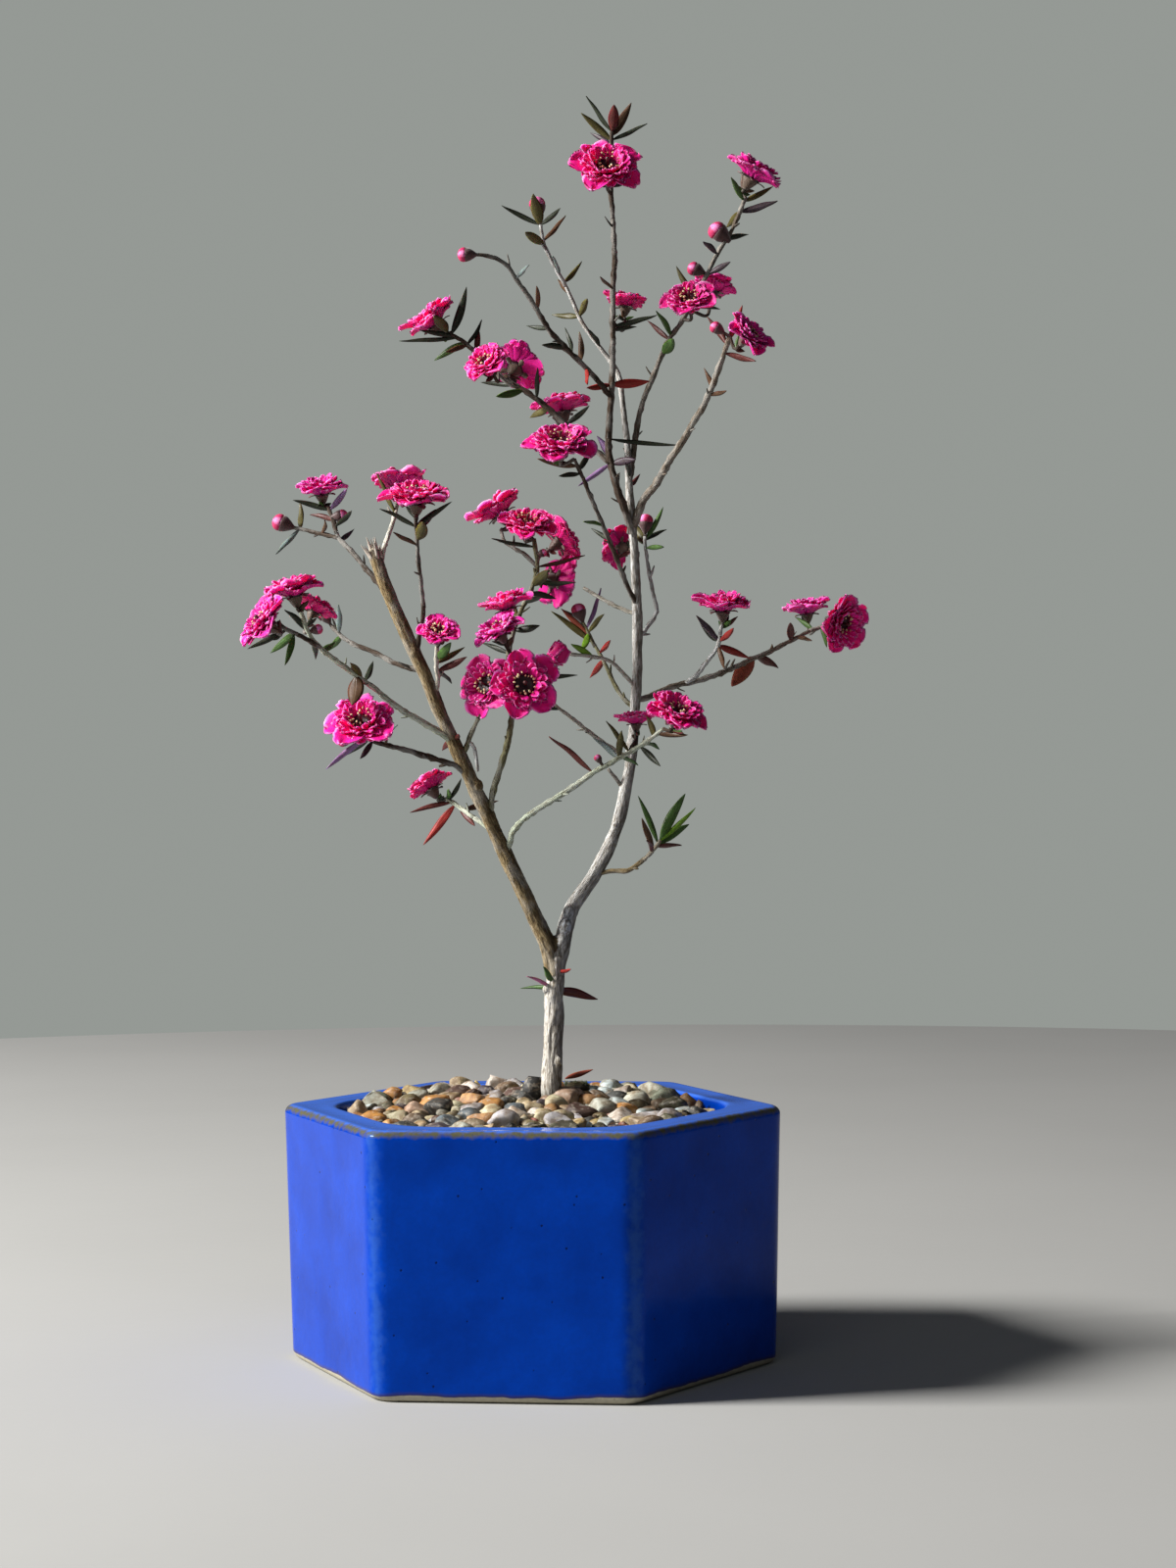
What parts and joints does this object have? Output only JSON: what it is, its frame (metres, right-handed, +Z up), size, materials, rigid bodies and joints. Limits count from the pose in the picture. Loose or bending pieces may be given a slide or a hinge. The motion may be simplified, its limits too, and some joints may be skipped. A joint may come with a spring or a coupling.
{
  "type": "burgundy queen tea tree bonsai in pot",
  "caption": "Small flowering tea tree bonsai with double magenta blooms, narrow leaves and two pale limbs, in a six-sided glazed pot topped with pea gravel.",
  "frame": {"origin": "centre of the pot's underside, on the surface that it stands on", "axes": "+Z up along the stem; the front, from which the two limbs open left and right, faces -Y"},
  "size_m": [0.1495, 0.1102, 0.3035],
  "materials": {
    "glaze": "glossy cobalt glaze, thin and olive along the rim's edge, bare clay line at the foot",
    "soil": "dark, loose and matt",
    "pebbles": "mixed pea gravel, smooth to satin",
    "scrap_bark": "rough, mossy",
    "dry_leaf": "dry, matt",
    "bark": "pale grey bark with fine cracks",
    "foliage": "satin olive green to maroon leaves and buds",
    "petals": "soft magenta petals, dark burgundy centre"
  },
  "bodies": {
    "root": {"bark_scrap": "scrap_bark", "bloom_01": "petals", "bloom_02": "petals", "bloom_03": "petals", "bloom_04": "petals", "bloom_05": "petals", "bloom_06": "petals", "bloom_07": "petals", "bloom_08": "petals", "bloom_09": "petals", "bloom_10": "petals", "bloom_11": "petals", "bloom_12": "petals", "bloom_13": "petals", "bloom_14": "petals", "bloom_15": "petals", "bloom_16": "petals", "bloom_17": "petals", "bloom_18": "petals", "bloom_19": "petals", "bloom_20": "petals", "bloom_21": "petals", "bloom_22": "petals", "bloom_23": "petals", "bloom_24": "petals", "bloom_25": "petals", "bloom_26": "petals", "bloom_27": "petals", "bloom_28": "petals", "bloom_29": "petals", "bloom_30": "petals", "bloom_31": "petals", "bloom_32": "petals", "bloom_33": "petals", "bloom_34": "petals", "bloom_35": "petals", "fallen_leaf": "dry_leaf", "gravel": "pebbles", "pot": "glaze", "shoot_back_left": "foliage", "shoot_bud_twig": "foliage", "shoot_far_left": "foliage", "shoot_front_middle": "foliage", "shoot_front_right": "foliage", "shoot_leader": "foliage", "shoot_left_front": "foliage", "shoot_left_front_side": "foliage", "shoot_left_high": "foliage", "shoot_left_low": "foliage", "shoot_low_left_bloom_twig": "foliage", "shoot_low_right_twig": "foliage", "shoot_middle_rise": "foliage", "shoot_right_limb": "foliage", "shoot_right_reach": "foliage", "shoot_round_bud_twig": "foliage", "shoot_straight_twig": "foliage", "shoot_upper_middle": "foliage", "shoot_upper_right": "foliage", "soil": "soil", "wood": "bark"}
  },
  "joints": []
}
